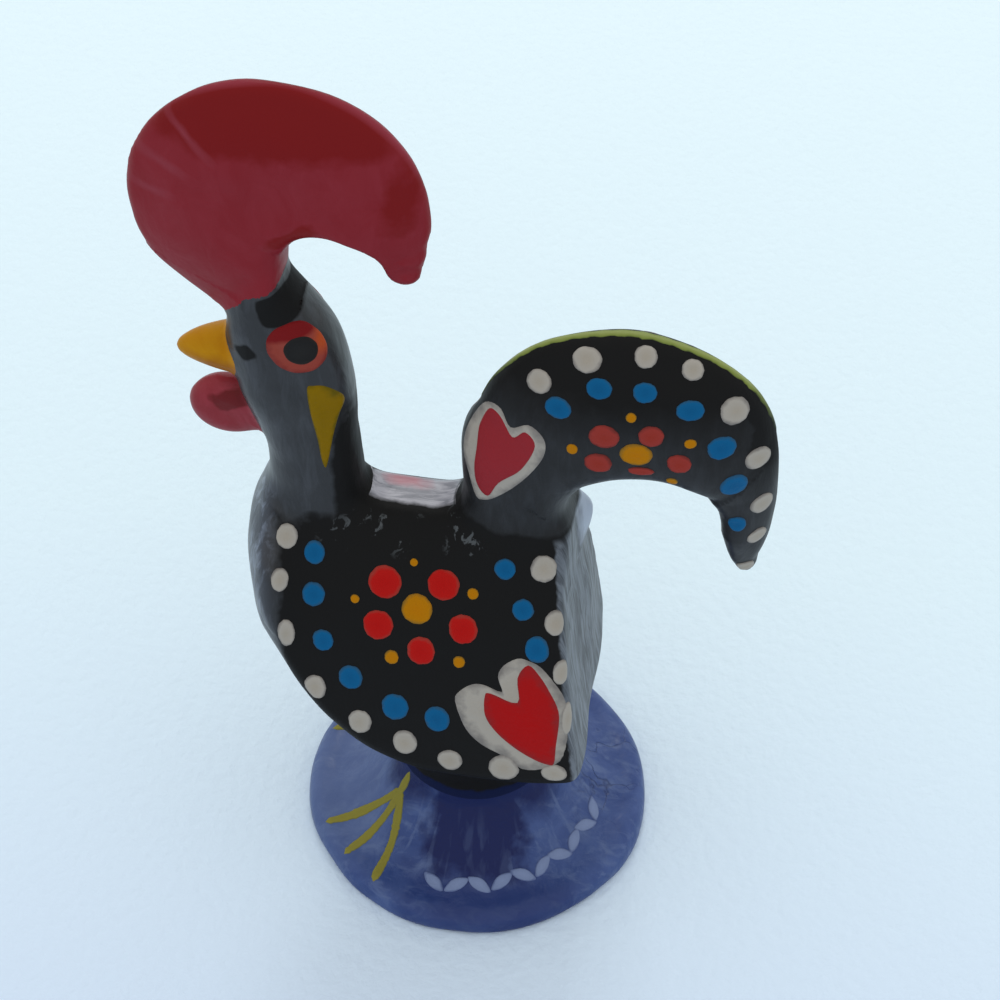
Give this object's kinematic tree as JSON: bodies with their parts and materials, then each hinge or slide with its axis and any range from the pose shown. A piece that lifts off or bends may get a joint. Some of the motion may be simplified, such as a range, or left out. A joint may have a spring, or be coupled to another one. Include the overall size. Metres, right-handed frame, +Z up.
{
  "type": "rooster_of_barcelos",
  "caption": "Hand-painted clay rooster of Barcelos, 80 mm tall: arched body on a flared blue foot, disc comb, sickle tail, raised enamel dots, flowers and hearts.",
  "frame": {"origin": "centre of the foot's underside, at floor level", "axes": "+Z up; beak towards -X and tail towards +X; the rooster's left side faces -Y; symmetric about the XZ plane"},
  "size_m": [0.0479, 0.03, 0.0793],
  "materials": {
    "blue_glaze": "glossy blue glaze over fired clay",
    "black_glaze": "glossy black glaze over fired clay",
    "comb_red": "glossy dark red glaze over fired clay",
    "wattle_red": "glossy red glaze over fired clay",
    "yellow_enamel": "glossy yellow enamel",
    "white_enamel": "satin white enamel",
    "dot_blue": "satin blue enamel",
    "petal_red": "satin bright red enamel",
    "heart_red": "satin deep red enamel",
    "eye_orange": "satin orange-red enamel",
    "rim_green": "satin yellow-green enamel",
    "pale_blue": "satin pale blue enamel"
  },
  "bodies": {
    "root": {"foot": "blue_glaze", "body": "black_glaze", "neck_and_head": "black_glaze", "beak": "yellow_enamel", "wattle": "wattle_red", "comb": "comb_red", "tail": "black_glaze", "eye_ring_left": "eye_orange", "eye_ring_right": "eye_orange", "pupil_left": "black_glaze", "pupil_right": "black_glaze", "ear_drop_left": "yellow_enamel", "ear_drop_right": "yellow_enamel", "body_white_dots_left": "white_enamel", "body_white_dots_right": "white_enamel", "body_blue_dots_left": "dot_blue", "body_blue_dots_right": "dot_blue", "body_petals_left": "petal_red", "body_petals_right": "petal_red", "body_flower_centre_left": "yellow_enamel", "body_flower_centre_right": "yellow_enamel", "body_specks_left": "yellow_enamel", "body_specks_right": "yellow_enamel", "body_halo_left": "white_enamel", "body_halo_right": "white_enamel", "body_heart_left": "heart_red", "body_heart_right": "heart_red", "tail_white_dots_left": "white_enamel", "tail_white_dots_right": "white_enamel", "tail_blue_dots_left": "dot_blue", "tail_blue_dots_right": "dot_blue", "tail_petals_left": "petal_red", "tail_petals_right": "petal_red", "tail_flower_centre_left": "yellow_enamel", "tail_flower_centre_right": "yellow_enamel", "tail_specks_left": "yellow_enamel", "tail_specks_right": "yellow_enamel", "tail_halo_left": "white_enamel", "tail_halo_right": "white_enamel", "tail_heart_left": "heart_red", "tail_heart_right": "heart_red", "tail_rim_band": "rim_green", "toes_left": "yellow_enamel", "toes_right": "yellow_enamel", "foot_garland": "pale_blue"}
  },
  "joints": []
}
